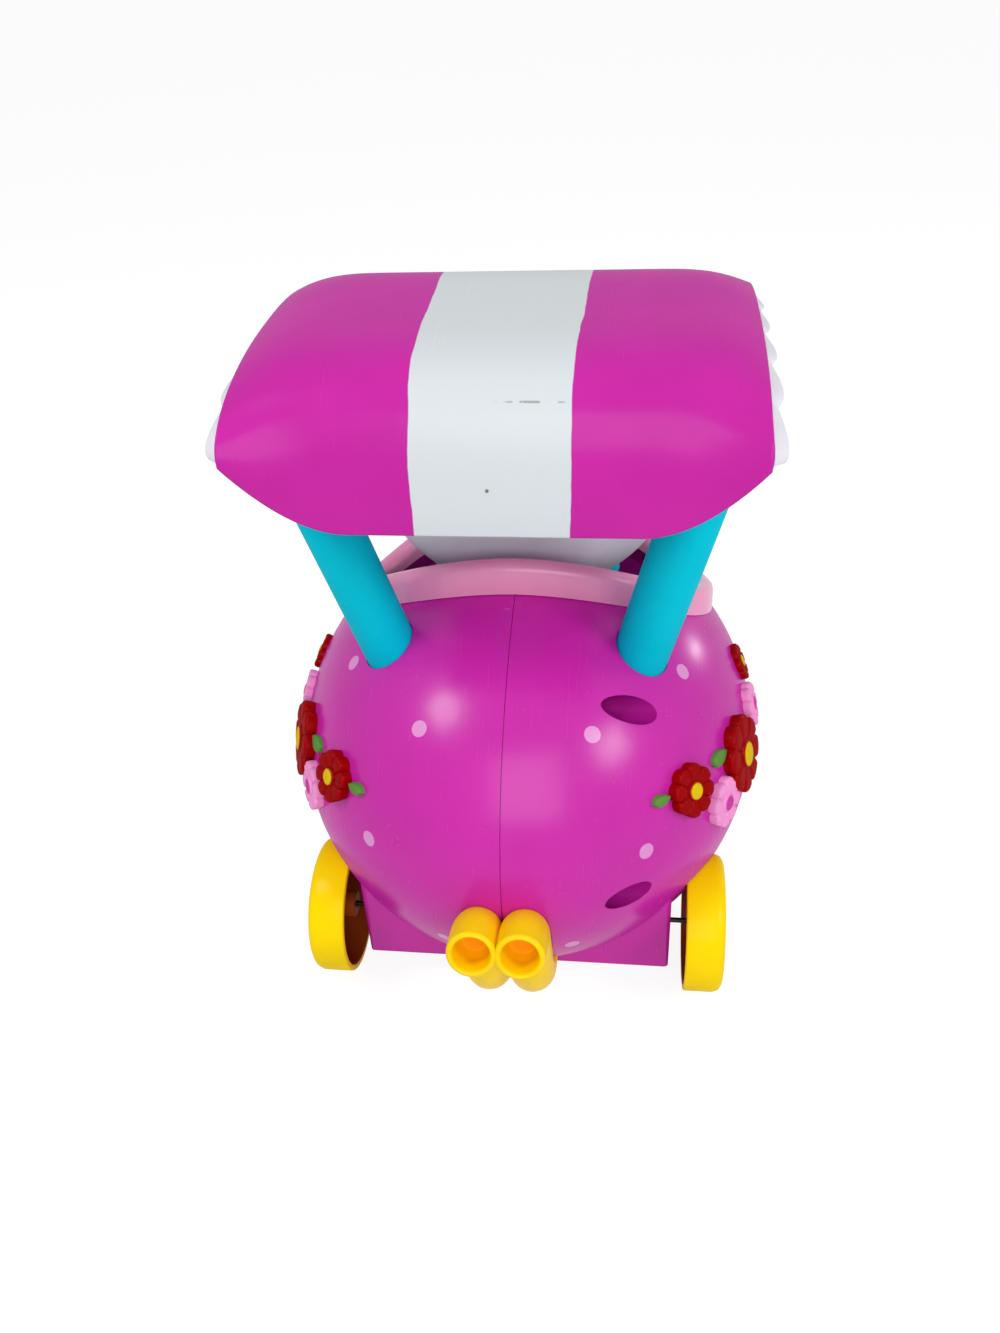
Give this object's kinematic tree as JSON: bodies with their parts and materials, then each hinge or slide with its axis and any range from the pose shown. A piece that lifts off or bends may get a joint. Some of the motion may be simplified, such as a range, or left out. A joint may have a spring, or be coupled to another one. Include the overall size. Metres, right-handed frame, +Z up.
{
  "type": "toy car",
  "caption": "Doll-size battery toy car: ball-shaped body on wheels, canopy on posts, bucket seat, twin exhaust, flowers and a geared motor drive.",
  "frame": {"origin": "on the ground, below the middle of the whole car's box", "axes": "+Z up; +Y forward, the exhaust is at -Y; +X is the car's right side"},
  "size_m": [0.1832, 0.2294, 0.251],
  "materials": {
    "body_magenta": "satin sprayed plastic",
    "canopy_magenta": "satin sprayed plastic with a pale stripe across the middle",
    "inner_magenta": "moulded plastic, fine matt texture",
    "rim_pink": "satin moulded plastic",
    "teal": "satin moulded plastic",
    "yellow": "satin moulded plastic",
    "frill_white": "satin moulded plastic",
    "seat_white": "satin moulded plastic",
    "flower_red": "satin plastic with a painted yellow centre",
    "flower_pink": "satin plastic with a painted magenta centre",
    "leaf_green": "satin painted plastic",
    "steel": "drawn wire and pressed sheet",
    "gear_nylon": "moulded nylon",
    "grey_plastic": "moulded plastic",
    "black_plastic": "moulded plastic",
    "cell_wrap": "plain printed shrink sleeve"
  },
  "bodies": {
    "car": {"body_left_shell": "body_magenta", "body_right_shell": "body_magenta", "body_screw_front": "steel", "body_screw_rear_lower": "steel", "body_screw_rear_upper": "steel", "chassis_pan": "inner_magenta", "cockpit_rim": "rim_pink", "cockpit_tub": "inner_magenta", "dashboard": "inner_magenta", "steering_column": "grey_plastic", "seat_shell": "seat_white", "seat_base": "teal", "canopy_shell": "canopy_magenta", "canopy_frill_left": "frill_white", "canopy_frill_right": "frill_white", "post_left": "teal", "post_right": "teal", "twin_exhaust": "yellow", "gearbox_frame": "grey_plastic", "gear_arbor": "steel", "motor": "steel", "battery_cell_1": "cell_wrap", "battery_cell_2": "cell_wrap", "battery_cell_3": "cell_wrap", "battery_contact_left": "steel", "battery_contact_right": "steel", "power_switch": "black_plastic", "flower_large_red_left": "flower_red", "flower_large_red_right": "flower_red", "flower_lower_pink_left": "flower_pink", "flower_lower_pink_right": "flower_pink", "flower_small_red_left": "flower_red", "flower_small_red_right": "flower_red", "flower_top_red_left": "flower_red", "flower_top_red_right": "flower_red", "flower_upper_pink_left": "flower_pink", "flower_upper_pink_right": "flower_pink", "leaf_large_left": "leaf_green", "leaf_large_right": "leaf_green", "leaf_small_left": "leaf_green", "leaf_small_right": "leaf_green"},
    "rear_wheels": {"wheel_rear_left": "yellow", "wheel_rear_right": "yellow", "rear_axle": "steel", "axle_gear": "gear_nylon"},
    "front_wheels": {"wheel_front_left": "yellow", "wheel_front_right": "yellow", "front_axle": "steel"},
    "gear_cluster": {"compound_gear": "gear_nylon"},
    "motor_rotor": {"motor_pinion": "gear_nylon", "motor_shaft": "steel"},
    "wheel_at_dash": {"steering_wheel": "teal"},
    "battery_cover": {"battery_door": "inner_magenta", "battery_door_screw": "steel"},
    "power_knob": {"switch_knob": "black_plastic"}
  },
  "joints": [
    {"name": "rear_wheel_spin", "type": "hinge", "parent": "car", "child": "rear_wheels", "pos_m": [0, -0.04922, 0.0262], "axis": [1, 0, 0], "continuous": true},
    {"name": "front_wheel_spin", "type": "hinge", "parent": "car", "child": "front_wheels", "pos_m": [0, 0.07318, 0.0262], "axis": [1, 0, 0], "continuous": true},
    {"name": "gear_cluster_spin", "type": "hinge", "parent": "car", "child": "gear_cluster", "pos_m": [0.0036, -0.03805, 0.03141], "axis": [1, 0, 0], "continuous": true},
    {"name": "motor_spin", "type": "hinge", "parent": "car", "child": "motor_rotor", "pos_m": [0.0036, -0.02573, 0.03141], "axis": [1, 0, 0], "continuous": true},
    {"name": "steering_wheel_turn", "type": "hinge", "parent": "car", "child": "wheel_at_dash", "pos_m": [0, 0.0581, 0.12516], "axis": [0, -0.788, 0.6157], "continuous": true},
    {"name": "battery_cover_swing", "type": "hinge", "parent": "car", "child": "battery_cover", "pos_m": [0, 0.00368, 0.013], "axis": [-1, 0, 0], "range_deg": [0, 40]},
    {"name": "power_knob_slide", "type": "slide", "parent": "car", "child": "power_knob", "axis": [0, 1, 0], "range_m": [0, 0.004]}
  ],
  "couplings": [
    {"joint": "gear_cluster_spin", "follows": "rear_wheel_spin", "ratio": -2.2222},
    {"joint": "motor_spin", "follows": "rear_wheel_spin", "ratio": 4.9383}
  ]
}
